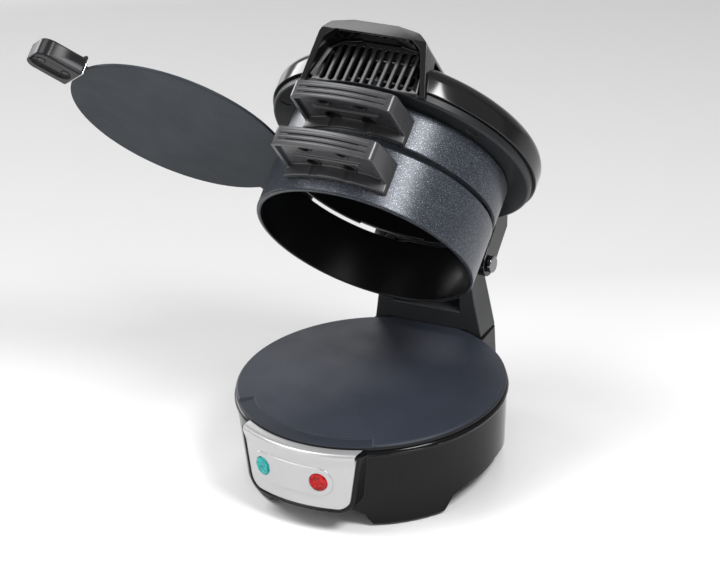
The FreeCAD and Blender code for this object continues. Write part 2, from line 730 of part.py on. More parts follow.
def lugs(top):
    return [cut(box(x0, x1, "-66", "-ring_radius + 3", f"{top} - 1.5", top), cylinder("ring_inner_radius + 0.5", "200"))
            for x0, x1 in (("handle_screw_x - 3", "handle_screw_x + 3"), ("-handle_screw_x - 3", "-handle_screw_x + 3"))]


screw_places = [(x, y) for x in ("-handle_screw_x", "handle_screw_x") for y in ("-rear_screw_y", "-front_screw_y")]


def handle_screws(top):
    """Two screws hold the lugs and two close the front bosses."""
    return group(*[fuse(cylinder("2.2", "1.6", x, y, f"{top} - 3.1"), cylinder("1.3", "4.0", x, y, f"{top} - 3.1"))
                   for x, y in screw_places])


def tip_drum(proud):
    """The large round that gives the handle's tip its bow."""
    return cylinder(f"handle_reach + handle_bow + {proud}", "200", y="handle_bow")


def handle(root_low, tip_low, root, tip, top, top_lugs, screws):
    """A solid grip: a bar along its root, a shallow recess with a rib underneath, two grooves round its tip."""
    side = padded("YZ_Plane", [("-handle_root", tip_low), ("-handle_reach - 8", tip_low), ("-handle_reach - 8", tip),
                               ("-handle_root", root)], "2 * handle_half")
    block_ = common(side, tip_drum("0"))
    grip = rounded(block_, size("handle_corner"), runs_along_height)
    bar = common(ring_sector("ring_radius - 1", "ring_radius + root_bar", "-135", "90", root_low, f"{tip_low} + 1"),
                 box("-handle_half", "handle_half", "-90", "0", "0", "200"))
    under = cut(common(box("-handle_half + handle_edge", "handle_half - handle_edge", "-90", "0", "0",
                           f"{tip_low} + recess_depth"), tip_drum("-handle_edge")),
                cylinder("ring_radius + root_bar", "200"),
                box("-rib_half", "rib_half", "-rib_y - 0.6", "-rib_y + 0.6", f"{tip_low} + 0.3", "200"))
    grooves = [cut(box("-19", "19", "-handle_reach - 9", "-handle_reach + 9", f"{tip} - {drop}",
                       f"{tip} - {drop} + groove_width"), tip_drum("-groove_depth")) for drop in ("3.6", "6.2")]
    holes = [cylinder(hole, f"{top} - 3.1", x, y) for hole, y in (("3.2", "-rear_screw_y"), ("2.8", "-front_screw_y"))
             for x in ("-handle_screw_x", "handle_screw_x")]
    body = cut(fuse(grip, bar), under, *grooves, cylinder("ring_radius", "200"), *holes)
    return cut(body, fuse(*top_lugs), screws)


def runs_along_height(edge):
    """Picks the corner edges at the tip of a ring handle."""
    middle = edge.discretize(3)[1]
    ends = edge.Vertexes[-1].Point - edge.Vertexes[0].Point
    return is_straight(edge) and abs(ends.x) < 1e-6 and abs(ends.y) < 1e-6 and middle.y < -70 and ends.Length > 1


def ring_set(name, relief_=None):
    low, high, blade_height = f"{name}_ring_base", f"{name}_ring_top", f"{name}_blade_height"
    root_low, tip_low = f"{name}_root_low", f"{name}_tip_low"
    root, tip = f"{name}_root_high", f"{name}_tip_high"
    top = lug_top(root, tip)
    top_lugs = lugs(top)
    screws = handle_screws(top)
    tube = ring_tube(low, high)
    ring = cut(fuse(cut(tube, relief_) if relief_ else tube, socket(blade_height), *top_lugs), screws)
    grip = handle(root_low, tip_low, root, tip, top, top_lugs, screws)
    node(f"{name}_ring", ring, f"{name}_ring")
    node(f"{name}_ring_handle", grip, f"{name}_ring")
    node(f"{name}_handle_screws", screws, f"{name}_ring")


ring_set("lower")
crescent = ring_sector("ring_inner_radius - 1", "ring_radius + 1", "slot_start", "slot_sweep",
                       "upper_ring_base - 1", "upper_ring_base + slot_relief")
ring_set("upper", crescent)

# Pivot of the swing-out plate


def round_pivot(radius, low, high):
    """An upright round piece on the plate's pivot."""
    return cylinder(radius, f"({high}) - ({low})", *polar("pivot_radius", "pivot_angle"), low)


pivot_arm = spun(box("ring_inner_radius", "pivot_radius", "-8", "8", "bracket_base", "bracket_base + bracket_height"),
                 "pivot_angle")
pivot_bracket = cut(fuse(pivot_arm, round_pivot("8", "bracket_base", "bracket_base + bracket_height")),
                    cylinder("ring_radius", "200"), round_pivot("pivot_pin_radius", "0", "bracket_base + 5.6"))
node("plate_pivot_bracket", pivot_bracket, "upper_ring")
node("plate_pivot_pin", fuse(round_pivot("pivot_pin_radius", "retainer_base - 0.3", "bracket_base + 5.6"),
                             round_pivot("5.2", "retainer_base - 1.8", "retainer_base - 0.3")), "upper_ring")

# Cooking plate: a disc with a tongue to the pivot and a neck into its handle

tongue = fuse(spun(box("20", "pivot_radius", "-tongue_half", "tongue_half", "plate_base", "plate_top"),
                   "pivot_angle"), round_pivot("tongue_half", "plate_base", "plate_top"))
neck = spun(box("20", "neck_end", "-neck_half", "neck_half", "plate_base", "plate_top"), "grip_angle")
pivot_way = round_pivot("pivot_pin_radius + 0.1", "0", "200")


def on_grip(thing):
    return spun(thing, "grip_angle")


grip_screw_x = ("grip_start + 3", "grip_end - 5.5")


def grip_screw(x):
    return fuse(cylinder("1.9", "1.6", x, "0", "grip_low + 1.2"), cylinder("1.1", "6.6", x, "0", "grip_low + 1.2"))


grip_screws = group(*[grip_screw(x) for x in grip_screw_x])
plate = cut(fuse(cylinder("plate_radius", "plate_thickness", z="plate_base"), neck, tongue), pivot_way,
            on_grip(grip_screws))
node("cooking_plate", plate, "cooking_plate")
hub = spun(box("pivot_radius - hub_side / 2", "pivot_radius + hub_side / 2", "-hub_side / 2", "hub_side / 2",
               "hub_base", "hub_base + hub_height"), "pivot_angle")
hub = rounded(hub, size("hub_corner"), runs_along(Vector(0, 0, 1)))
node("plate_pivot_hub", cut(hub, pivot_way), "cooking_plate")
node("plate_pivot_retainer", cut(round_pivot("8.2", "retainer_base", "plate_base"), pivot_way), "cooking_plate")


grip_box = box("grip_start - 2", "grip_end", "-grip_half", "grip_half", "grip_low", "grip_high")
grip_box = rounded(grip_box, size("grip_corner"), runs_along(Vector(0, 0, 1), lambda q: q.x > size("grip_start")))
guard = box("grip_start - 2", "grip_start", "-grip_half", "grip_half", "grip_low", "grip_high + guard_rise")
neck_way = box("0", "neck_end", "-neck_half", "neck_half", "plate_base", "plate_top")
recess = fuse(box("grip_start + 5.5", "grip_end - 6", "-5.2", "5.2", "0", "grip_low + 1.2"),
              cylinder("5.2", "grip_low + 1.2", "grip_start + 5.5"), cylinder("5.2", "grip_low + 1.2", "grip_end - 6"))
ferrule = cut(box("plate_radius + 0.4", "grip_start - 2", "-neck_half - 1.4", "neck_half + 1.4", "grip_low + 1.6",
                  "plate_top + 1.2"), neck_way)
node("plate_handle", on_grip(cut(fuse(grip_box, guard), neck_way, recess, grip_screws)), "cooking_plate")
node("plate_handle_ferrule", on_grip(ferrule), "cooking_plate")
doc.recompute()
node("plate_handle_screws", on_grip(grip_screws), "cooking_plate")

# Lid: metal rim, moulded shell with the handle hood and hinge ears, grille

rim_bolts = ("60", "120", "215", "325")


def rim_screw(angle):
    return fuse(cylinder("2.6", "1.3", *polar("62", angle), "lid_base + 0.3"),
                cylinder("1.3", "12", *polar("62", angle), "lid_base + 0.3"))


rim_screws = group(*[rim_screw(angle) for angle in rim_bolts])
rim = turned([("rim_inner", "lid_base"), ("lid_rim_radius - 1", "lid_base"), ("lid_rim_radius", "lid_base + 1"),
              ("lid_rim_radius", "lid_seam"), ("lid_rim_radius - 2.2", "lid_seam"),
              ("lid_rim_radius - 2.2", "lid_base + rim_floor"), ("rim_inner", "lid_base + rim_floor")])
mouth_half = "(hood_half_low - hood_wall)"
rim_front = fuse(box(f"-{mouth_half}", mouth_half, "-lid_radius - 5", "-grille_front - 0.6", "lid_base + sill",
                     "lid_seam + 1"),
                 box(f"-{mouth_half}", mouth_half, "-lid_radius - 5", "-grille_front + 8", "lid_base + rim_floor",
                     "lid_seam + 1"))
head_ways = [cylinder("2.6", "1.6", *polar("62", angle), "lid_base") for angle in rim_bolts]
node("lid_rim", cut(rim, rim_front, rim_screws, *head_ways), "lid")



def dome(wall, low):
    """A drum with a shallow conical top in two slopes, its shoulder rounded."""
    outer, shoulder = f"lid_radius - {wall}", f"lid_crown - lid_shoulder_drop - {wall} * 0.5"
    drum = turned([("0", low), (outer, low), (outer, shoulder), ("lid_radius * 0.78", f"lid_crown - 4.4 - {wall}"),
                   ("lid_radius * 0.43", f"lid_crown - 1.3 - {wall}"), ("0", f"lid_crown - {wall}")])
    return rounded(drum, worth(f"lid_shoulder_radius - {wall} / 2"),
                   lambda edge: is_round(edge, worth(outer), worth(shoulder)))


def hood_outline(inset, climb):
    """The hood's front view drawn in by an inset, its crown lowered by the lip and raised by a climb."""
    drop = f"hood_lip * ({inset}) / hood_wall - {climb}"
    return rounded(padded("XZ_Plane", [
        (f"-hood_half_low + {inset}", "lid_base - 12"), (f"hood_half_low - {inset}", "lid_base - 12"),
        (f"hood_half_low - {inset}", "lid_base"),
        (f"hood_half_shoulder - {inset}", f"hood_top - 6.2 - ({drop})"),
        (f"hood_half_crown - {inset} * 1.2", f"hood_top - 2 - ({drop})"),
        (f"hood_half_top - {inset} * 0.5", f"hood_top - ({drop})"), (f"{inset} * 0.5 - hood_half_top", f"hood_top - ({drop})"),
        (f"{inset} * 1.2 - hood_half_crown", f"hood_top - 2 - ({drop})"),
        (f"{inset} - hood_half_shoulder", f"hood_top - 6.2 - ({drop})"), (f"{inset} - hood_half_low", "lid_base")],
        "4 * cooktop_radius"), size("hood_soft") - 0.6 * worth(inset), runs_along(Vector(0, 1, 0), lambda q: q.z > 115))


low_z = "lid_base + 0.6"
hood_face = hood_outline("0", "0")
back_low, back_top = "-grille_front", "-grille_front + grille_lean"
hood_side = padded("YZ_Plane", [("-hood_foot", low_z), ("-hood_reach + 1.4", "mouth_top"),
                                ("-hood_reach", "hood_top"), ("-hood_reach + 8", "hood_top + 0.4"),
                                ("-28", "lid_crown - 0.8"), ("-22", "lid_crown - 3"),
                                (f"{back_top} + grille_thickness", "lid_crown - 3.6"),
                                (f"{back_low} + grille_thickness", "lid_base + rim_floor"),
                                (f"{back_low} + grille_thickness", low_z)], "4 * cooktop_radius")
inside_rim = fuse(cylinder("lid_rim_radius + 0.15", "lid_base + rim_floor - 60", z="60"),
                  ring_sector("lid_rim_radius - 2.35", "lid_rim_radius + 0.15", "0", "360", "60", "lid_seam"))
hood = cut(common(hood_face, hood_side), inside_rim)
ear_profile = [("hinge_y - ear_radius", "hinge_height"), ("hinge_y + ear_radius", "hinge_height"),
               ("hinge_y + 5", "lid_seam + 2"), ("hinge_y + 1", "lid_seam + 6"), ("50", "lid_seam + 6"),
               ("50", "lid_base"), ("hinge_y - 8.6", "lid_base - 1")]


def ear(start):
    side = padded("YZ_Plane", ear_profile, "200")
    slab = box(start, f"{start} + ear", "0", "100", "0", "200")
    return fuse(common(side, slab), cylinder("ear_radius", "ear", start, "hinge_y", "hinge_height", ALONG_X))


ears = cut(fuse(ear("ear_start"), ear("-ear_end")), cylinder("lid_rim_radius + 0.15", "200"))
mouth_side = padded("YZ_Plane", [("-hood_reach - 9", "lid_base - 12"), (back_low, "lid_base - 12"),
                                 (back_low, "lid_base + rim_floor"), (back_top, "mouth_top + ceiling_climb"),
                                 ("-hood_reach + 1.4", "mouth_top"), ("-hood_reach - 9", "mouth_top")],
                    "4 * cooktop_radius")
mouth = common(hood_outline("hood_wall", "ceiling_climb"), mouth_side)


def window_outline(inset):
    """The opening in the hood's back wall that the grille is pressed into."""
    return common(hood_outline(f"(hood_wall + grille_frame + {inset})", "(ceiling_climb + hood_lip * grille_frame / hood_wall)"),
                  box("-40", "40", "-70", "-40", f"lid_base + rim_floor + {inset}", f"mouth_top + ceiling_climb - {inset}"))


bolt_bosses = [cylinder("3.4", "lid_crown - 9.3 - (lid_base + rim_floor)", *polar("62", angle), "lid_base + rim_floor")
               for angle in rim_bolts]
lid_walls = cut(dome("0", "lid_seam"), dome("lid_wall", "lid_seam - 1"))
shell_block = fuse(lid_walls, hood, ears, *bolt_bosses)
shell_solid = cut(shell_block, mouth, window_outline("0"), rim_screws, pin_bore("-40", "80"))
for piece in (shell_block, shell_solid):
    piece.Refine = False
node("lid_shell", shell_solid, "lid")

# Grille: a leaning plate with a row of slots, pressed into the window

grille_side = padded("YZ_Plane", [(back_low, "lid_base + rim_floor"), (back_top, "mouth_top + ceiling_climb"),
                                  (f"{back_top} + grille_thickness", "mouth_top + ceiling_climb"),
                                  (f"{back_low} + grille_thickness", "lid_base + rim_floor")], "4 * cooktop_radius")
slot_bars = []
for k in range(int(size("slot_count"))):
    middle = f"({k} - (slot_count - 1) / 2) * slot_pitch"
    low, high = "grille_foot + slot_width / 2", "grille_foot + slot_length - slot_width / 2"
    slot_bars += [box(f"{middle} - slot_width / 2", f"{middle} + slot_width / 2", "-80", "0", low, high),
                  cylinder("slot_width / 2", "80", middle, "-80", low, ALONG_Y),
                  cylinder("slot_width / 2", "80", middle, "-80", high, ALONG_Y)]
node("handle_grille", cut(common(grille_side, window_outline("0.1")), *slot_bars), "lid")

# Heating parts of the lid

heater = turned([("0", "heater_base"), ("heater_radius - 0.6", "heater_base"), ("heater_radius", "heater_base + 0.6"),
                 ("heater_radius", "lid_base + rim_floor"), ("heater_radius + 3.5", "lid_base + rim_floor"),
                 ("heater_radius + 3.5", "heater_top"), ("0", "heater_top")])
upper_channel = ring_sector("element_radius - 5", "element_radius + 5", "0", "360", "heater_top",
                            "heater_top + 2.4")
upper_turn = element_ring("element_radius", "heater_top + element_tube")
upper_element = fuse(upper_turn, *terminals("element_radius", "heater_top + element_tube", "heater_top + 11"))
lid_studs = [cylinder("3.6", "7.5", *polar("48", angle), "heater_top") for angle in stud_angles]


def lid_shield_screw(angle):
    return fuse(cylinder("1.3", "6", *polar("48", angle), "heater_top + 3"),
                cylinder("2.8", "1.4", *polar("48", angle), "heater_top + 8.3"))


lid_shield_screws = group(*[lid_shield_screw(angle) for angle in stud_angles])
node("upper_heating_plate", cut(fuse(heater, upper_channel, *lid_studs), upper_element, lid_shield_screws), "lid")
node("upper_heating_element", upper_element, "lid")
lid_shield = turned([("0", "heater_top + 7.5"), ("51", "heater_top + 7.5"), ("51", "heater_top + 8.3"),
                     ("0", "heater_top + 8.3")])
node("upper_heat_shield", cut(lid_shield, lid_shield_screws,
                              *[cylinder("2.3", "9", *polar("element_radius", a), "heater_top + 4")
                                for a in ("80", "100")]), "lid")
node("lid_shield_screws", lid_shield_screws, "lid")
upper_cutout = fuse(cylinder("2.4", "11", "8", "15", "heater_top + 11.2", ALONG_X),
                    box("11", "16", "12", "18", "heater_top + 8.3", "heater_top + 9"))
node("upper_thermal_fuse", upper_cutout, "lid")
node("lid_screws", rim_screws, "lid")
fuse_z = worth("heater_top + 11.2")
lid_wires = [wire(1.0, (6.4, 37.4, fuse_z), (10, 32, fuse_z + 1), (24, 22, fuse_z), (19.4, 15, fuse_z)),
             wire(1.0, (-6.4, 37.4, fuse_z), (-10, 28, fuse_z + 1), (0, 16, fuse_z), (7.6, 15, fuse_z))]
node("lid_wiring", cut(group(*lid_wires), upper_element, upper_cutout), "lid")

# Resting pose and files

LEANING = ("lower_bracket", "lower_ring", "upper_bracket", "upper_ring", "cooking_plate", "lid")
doc.recompute()
hinge = Vector(0, size("hinge_y"), size("hinge_height"))
lean_back = Placement(Vector(), Rotation(Vector(1, 0, 0), -size("open_angle")), hinge)
pivot = Vector(*[worth(text) for text in polar("pivot_radius", "pivot_angle")], 0)
swing_out = Placement(Vector(), Rotation(Vector(0, 0, 1), -size("swing_angle")), pivot)
for label, (holder, body) in nodes.items():
    if body == "cooking_plate":
        holder.Placement = lean_back.multiply(swing_out)
    elif body in LEANING:
        holder.Placement = lean_back
doc.recompute()
os.makedirs("parts", exist_ok=True)
for label, (holder, body) in nodes.items():
    wrong = {"Invalid", "Error"} & set(holder.State)
    if wrong or holder.Shape.isNull() or not holder.Shape.isValid():
        raise RuntimeError(f"{label}: the shape did not build")
    holder.Shape.exportStep(f"parts/{label}.step")
    room = holder.Shape.BoundBox
    print(f"{label:24s} {len(holder.Shape.Solids):3d} solids  {holder.Shape.Volume:10.1f} mm3  z {room.ZMin:.1f}..{room.ZMax:.1f}")
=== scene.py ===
"""Electric burger maker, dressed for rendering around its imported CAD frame. Metres, front towards -Y."""
import json
import math

import bmesh
import bpy
from mathutils import Matrix, Vector


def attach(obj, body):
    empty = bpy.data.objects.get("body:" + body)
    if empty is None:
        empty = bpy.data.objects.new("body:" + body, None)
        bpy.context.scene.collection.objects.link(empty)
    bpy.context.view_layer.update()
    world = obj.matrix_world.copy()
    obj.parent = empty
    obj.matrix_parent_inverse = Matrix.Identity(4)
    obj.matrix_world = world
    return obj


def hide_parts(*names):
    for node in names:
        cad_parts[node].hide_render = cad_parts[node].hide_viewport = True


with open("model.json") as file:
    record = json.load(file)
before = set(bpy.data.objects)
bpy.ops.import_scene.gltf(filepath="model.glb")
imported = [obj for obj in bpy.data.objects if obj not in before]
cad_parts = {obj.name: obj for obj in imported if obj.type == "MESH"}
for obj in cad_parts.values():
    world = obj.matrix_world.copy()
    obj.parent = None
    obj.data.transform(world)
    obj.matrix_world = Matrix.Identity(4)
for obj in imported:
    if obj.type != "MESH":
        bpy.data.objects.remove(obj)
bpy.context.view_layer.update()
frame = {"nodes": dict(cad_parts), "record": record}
nodes = frame["nodes"]

# Camera and studio.
# A long lens above the right front corner, held a few degrees off level, as a catalogue picture is taken.
# Paper lies on the floor and curves up into a wall, under five soft boxes; its colour is painted darker towards the
# back and lighter again where it rises, as painted shade.
EYE = Vector((0.6619, -1.2028, 0.7948))
RIGHT = Vector((0.8865, 0.4597, -0.0526))
UP = Vector((-0.1670, 0.4239, 0.8902))
camera = bpy.data.objects.new("camera", bpy.data.cameras.new("camera"))
camera.data.lens = 156.0
camera.data.sensor_width = 36.0
camera.data.clip_end = 20.0
camera.matrix_world = Matrix((RIGHT, UP, RIGHT.cross(UP))).transposed().to_4x4()
camera.matrix_world.translation = EYE
bpy.context.scene.collection.objects.link(camera)
bpy.context.scene.camera = camera
bpy.context.scene.view_settings.view_transform = "Standard"


def lamp(name, direction, distance, size, power):
    """A square soft box that hangs in a direction and faces the middle of the object."""
    data = bpy.data.lights.new(name, "AREA")
    data.size = size
    data.energy = power
    light = bpy.data.objects.new(name, data)
    middle = Vector((-0.02, 0.0, 0.12))
    light.location = middle + Vector(direction).normalized() * distance
    light.rotation_euler = (middle - light.location).to_track_quat("-Z", "Y").to_euler()
    bpy.context.scene.collection.objects.link(light)


lamp("key_box", (0.62, -0.2, 0.76), 1.3, 0.40, 14)
lamp("top_box", (-0.5, -0.25, 0.86), 1.3, 0.7, 11)
lamp("front_box", (-0.5, -0.8, 0.35), 1.6, 0.9, 5)
lamp("back_box", (-0.3, 0.7, 0.65), 1.5, 0.8, 8)
lamp("left_box", (-0.93, 0.3, 0.22), 1.4, 0.6, 7)
world = bpy.data.worlds.new("studio")
bpy.context.scene.world = world
world.use_nodes = True
world.node_tree.nodes["Background"].inputs["Color"].default_value = (0.9, 0.9, 0.9, 1)
world.node_tree.nodes["Background"].inputs["Strength"].default_value = 0.42


def add_node(tree, kind, links=(), **values):
    """Adds a shader node, sets its sockets by name and links its inputs."""
    node = tree.nodes.new(kind)
    for socket, value in values.items():
        node.inputs[socket.replace("_", " ")].default_value = value
    for socket, source in links:
        tree.links.new(source, node.inputs[socket])
    return node


def ramp_node(tree, source, *stops):
    """A colour ramp through (position, colour) stops."""
    node = add_node(tree, "ShaderNodeValToRGB", [("Fac", source)])
    node.color_ramp.elements[0].position, node.color_ramp.elements[1].position = stops[0][0], stops[-1][0]
    for position, _ in stops[1:-1]:
        node.color_ramp.elements.new(position)
    for element, (_, colour) in zip(node.color_ramp.elements, stops):
        element.color = list(colour) + [1] if len(colour) == 3 else [colour[0]] * 3 + [1]
    return node.outputs["Color"]


paper_finish = bpy.data.materials.new("studio_paper")
paper_finish.use_nodes = True
tree = paper_finish.node_tree
shader = tree.nodes["Principled BSDF"]
shader.inputs["Roughness"].default_value = 0.9
shader.inputs["Specular IOR Level"].default_value = 0.1
away = tree.nodes.new("ShaderNodeVectorMath")
away.operation = "DOT_PRODUCT"
away.inputs[1].default_value = (-0.48, 0.875, 0.0)
tree.links.new(tree.nodes.new("ShaderNodeTexCoord").outputs["Object"], away.inputs[0])
# Painted shade: the paper's colour runs from 0.94 at the front down to 0.39 behind the object, and back up to 0.78 at
# the foot of the wall.
depth = add_node(tree, "ShaderNodeMapRange", [("Value", away.outputs["Value"])], From_Min=-0.2, From_Max=1.0)
tree.links.new(ramp_node(tree, depth.outputs["Result"], (0.0, (0.94,)), (0.11, (0.86,)), (0.33, (0.52,)),
                         (0.70, (0.39,)), (0.8, (0.50,)), (1.0, (0.78,))), shader.inputs["Base Color"])
paper = bmesh.new()
strip = [paper.edges.new([paper.verts.new((x, -4, 0)) for x in (-5, 5)])]
curve = [(0, 0.28 * math.cos(math.radians(a)), 0.28 * math.sin(math.radians(a))) for a in range(5, 90, 10)]
for step in [(0, 3.6, 0), (0, 0.8, 0), (0, 0.8, 0)] + curve + [(0, 0, 3.5)]:
    strip = bmesh.ops.extrude_edge_only(paper, edges=strip)["geom"]
    bmesh.ops.translate(paper, verts=[v for v in strip if isinstance(v, bmesh.types.BMVert)], vec=step)
    strip = [e for e in strip if isinstance(e, bmesh.types.BMEdge)]


def finished(bm, name, finish, smooth=35):
    """Makes a bmesh into a smooth-shaded object at the origin with a finish."""
    bmesh.ops.remove_doubles(bm, verts=bm.verts, dist=1e-6)
    bmesh.ops.recalc_face_normals(bm, faces=bm.faces)
    for face in bm.faces:
        face.smooth = True
    for edge in bm.edges:
        edge.smooth = len(edge.link_faces) != 2 or edge.calc_face_angle(0) < math.radians(smooth)
    mesh = bpy.data.meshes.new(name)
    bm.to_mesh(mesh)
    bm.free()
    mesh.materials.append(finish)
    piece = bpy.data.objects.new(name, mesh)
    bpy.context.scene.collection.objects.link(piece)
    return piece


paper_sheet = finished(paper, "paper_sweep", paper_finish)
paper_sheet.data.flip_normals()

# Base housing.
# A round black moulding with four broad feet, a nose that carries the control panel and a ledge behind for the
# hinge tower. The gloss of the tool is on its wall, and its corners are rounded for the draw.
BODY_OF = {node: body for body, names in frame["record"]["behaviour"]["bodies"].items() for node in names}


def plastic(name, colour, rough, specular=0.5, coat=0.0, grain=1500.0, grain_depth=0.04, tone=0.12, metal=0.0):
    """A moulded or painted finish: slight clouding of tone and gloss over a fine grain."""
    material = bpy.data.materials.new(name)
    material.use_nodes = True
    tree = material.node_tree
    shader = tree.nodes["Principled BSDF"]
    shader.inputs["Metallic"].default_value = metal
    shader.inputs["Specular IOR Level"].default_value = specular
    shader.inputs["Coat Weight"].default_value = coat
    shader.inputs["Coat Roughness"].default_value = 0.08
    place = tree.nodes.new("ShaderNodeTexCoord").outputs["Object"]
    clouds = add_node(tree, "ShaderNodeTexNoise", [("Vector", place)], Scale=24.0, Detail=4.0)
    wear = add_node(tree, "ShaderNodeTexNoise", [("Vector", place)], Scale=75.0, Detail=3.0)
    fine = add_node(tree, "ShaderNodeTexNoise", [("Vector", place)], Scale=grain, Detail=3.0)
    tint = ramp_node(tree, clouds.outputs["Fac"], (0.3, [c * (1 - tone) for c in colour]),
                     (0.7, [min(1.0, c * (1 + tone)) for c in colour]))
    gloss = add_node(tree, "ShaderNodeMapRange", [("Value", wear.outputs["Fac"])], To_Min=rough * 0.8,
                     To_Max=min(1.0, rough * 1.2))
    bump = add_node(tree, "ShaderNodeBump", [("Height", fine.outputs["Fac"])], Strength=grain_depth, Distance=0.0002)
    tree.links.new(tint, shader.inputs["Base Color"])
    tree.links.new(gloss.outputs["Result"], shader.inputs["Roughness"])
    tree.links.new(bump.outputs["Normal"], shader.inputs["Normal"])
    return material


def dressed(node, finish):
    """Gives a CAD node its finish and leaves its shape."""
    mesh = nodes[node].data
    mesh.materials.clear()
    mesh.materials.append(finish)


def merged(node):
    """A copy of a CAD node's mesh with its triangles joined up."""
    bm = bmesh.new()
    bm.from_mesh(nodes[node].data)
    bmesh.ops.remove_doubles(bm, verts=bm.verts, dist=2e-6)
    bmesh.ops.recalc_face_normals(bm, faces=bm.faces)
    return bm


def softened(node, finish, width=0.0004, steps=3, bm=None, smooth=35):
    """Stands a copy of a CAD node in its place, its edges rounded over but for those that nearly meet."""
    bm = bm or merged(node)
    weight = bm.edges.layers.float.new("bevel_weight_edge")
    for edge in bm.edges:
        edge[weight] = float(edge.calc_face_angle(0) > math.radians(38))
    for corner in bm.verts:
        sharp = [edge for edge in corner.link_edges if edge[weight]]
        ways = [(edge.other_vert(corner).co - corner.co).normalized() for edge in sharp]
        for edge, way in zip(sharp, ways):
            if any(way is not other and way.dot(other) > 0.88 for other in ways):
                edge[weight] = 0.0
    piece = finished(bm, f"{node}_soft", finish, smooth)
    rounding = piece.modifiers.new("rounding", "BEVEL")
    rounding.width = width
    rounding.segments = steps
    rounding.limit_method = "WEIGHT"
    rounding.use_clamp_overlap = False
    rounding.loop_slide = False
    rounding.harden_normals = True
    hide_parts(node)
    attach(piece, BODY_OF[node])
    return piece


gloss_black = plastic("gloss_black", (0.005, 0.005, 0.0055), 0.12, specular=0.18, grain=900.0, grain_depth=0.02)
housing = merged("base_housing")
for corner in housing.verts:
    if 0.0645 < corner.co.xy.length < 0.0678:
        corner.co.xy *= 1 + 0.5 * corner.co.z
top_height = max(corner.co.z for corner in housing.verts)
shoulder = [edge for edge in housing.edges if edge.calc_face_angle(0) > 1.2 and all(
    abs(corner.co.z - top_height) < 1e-5 and 0.0685 < corner.co.xy.length < 0.0693 for corner in edge.verts)]
bmesh.ops.bevel(housing, geom=shoulder, offset=0.0022, segments=5, profile=0.5, affect="EDGES", material=-1,
                clamp_overlap=False, loop_slide=False)
softened("base_housing", gloss_black, 0.0006, bm=housing)
satin_black = plastic("satin_black", (0.016, 0.016, 0.018), 0.42)
rubber = plastic("pad_rubber", (0.02, 0.02, 0.02), 0.8, grain=600.0, grain_depth=0.1)
zinc = plastic("zinc_plate", (0.5, 0.5, 0.5), 0.35, metal=1.0, tone=0.06)
dressed("base_bottom_cover", satin_black)
dressed("rubber_feet", rubber)
dressed("cover_screws", zinc)

# Control panel and its lamps.
# A thin curved plate, silver lacquered, that drops into the nose's black frame. A long raised rim runs round
# both lamps, whose clear tinted caps press through it over neon bulbs.
silver = plastic("silver_lacquer", (0.47, 0.47, 0.475), 0.32, metal=0.5, grain=2600.0, tone=0.03)
softened("control_panel", silver, 0.0003)
NOSE_WAY = math.radians(-95)
brow = bmesh.new()
roll = [(0.07313, 0.0372), (0.07335, 0.0392), (0.07385, 0.0408), (0.07420, 0.0424), (0.07422, 0.0435), (0.07395, 0.0443),
        (0.07335, 0.0448), (0.07240, 0.0450), (0.07050, 0.0450), (0.06830, 0.0449)]
line = [brow.verts.new((reach, 0, height)) for reach, height in roll]
edges = [brow.edges.new(pair) for pair in zip(line, line[1:])]
bmesh.ops.spin(brow, geom=line + edges, cent=(0, 0, 0), axis=(0, 0, 1), angle=math.radians(60), steps=30)
bmesh.ops.rotate(brow, verts=brow.verts, matrix=Matrix.Rotation(NOSE_WAY - math.radians(30), 3, "Z"))
for side in (-1, 1):
    out = Matrix.Rotation(NOSE_WAY + math.pi / 2, 3, "Z") @ Vector((side, 0, -0.141))
    foot = Matrix.Rotation(NOSE_WAY + math.pi / 2, 3, "Z") @ Vector((side * 0.0326, 0, 0.0437))
    bmesh.ops.bisect_plane(brow, geom=brow.verts[:] + brow.edges[:] + brow.faces[:], plane_co=foot, plane_no=out,
                           clear_outer=True)
bmesh.ops.recalc_face_normals(brow, faces=brow.faces)
bmesh.ops.solidify(brow, geom=brow.faces, thickness=0.0003)
brow_piece = finished(brow, "panel_brow", silver, 50)
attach(brow_piece, BODY_OF["control_panel"])


def faceted(name, colour):
    """Tinted clear plastic over a back pressed with small prisms, each prism painted a lighter or darker tint as
    painted glints and shade.
    """
    material = plastic(name, colour, 0.12, specular=0.25)
    tree = material.node_tree
    shader = tree.nodes["Principled BSDF"]
    place = tree.nodes["Texture Coordinate"].outputs["Object"]
    prisms = add_node(tree, "ShaderNodeTexVoronoi", [("Vector", place)], Scale=950.0)
    # Painted glints and shade: each prism's tint is painted from 0.45 to 1.5 times the cap colour.
    tint = ramp_node(tree, prisms.outputs["Color"], (0.15, [c * 0.45 for c in colour]), (0.5, colour),
                     (0.85, [min(1.0, c * 1.5 + 0.01) for c in colour]))
    facets = add_node(tree, "ShaderNodeBump", [("Height", prisms.outputs["Distance"])], Strength=0.5, Distance=0.0003)
    tree.links.new(tint, shader.inputs["Base Color"])
    tree.links.new(facets.outputs["Normal"], shader.inputs["Normal"])
    return material


softened("ready_lamp_lens", faceted("teal_cap", (0.002, 0.29, 0.28)), 0.0008)
softened("power_lamp_lens", faceted("red_cap", (0.38, 0.001, 0.001)), 0.0008)
dressed("lamp_holder", satin_black)
dressed("neon_lamps", plastic("lamp_glass", (0.8, 0.6, 0.5), 0.1, grain_depth=0.01))

# Lower cooking face.
# A pressed aluminium disc with a dark slate non-stick coat, a little larger than the housing, its edge turned
# down and its front lip cut back. The ring element, thermostat, fuse and wires are screwed up under it.


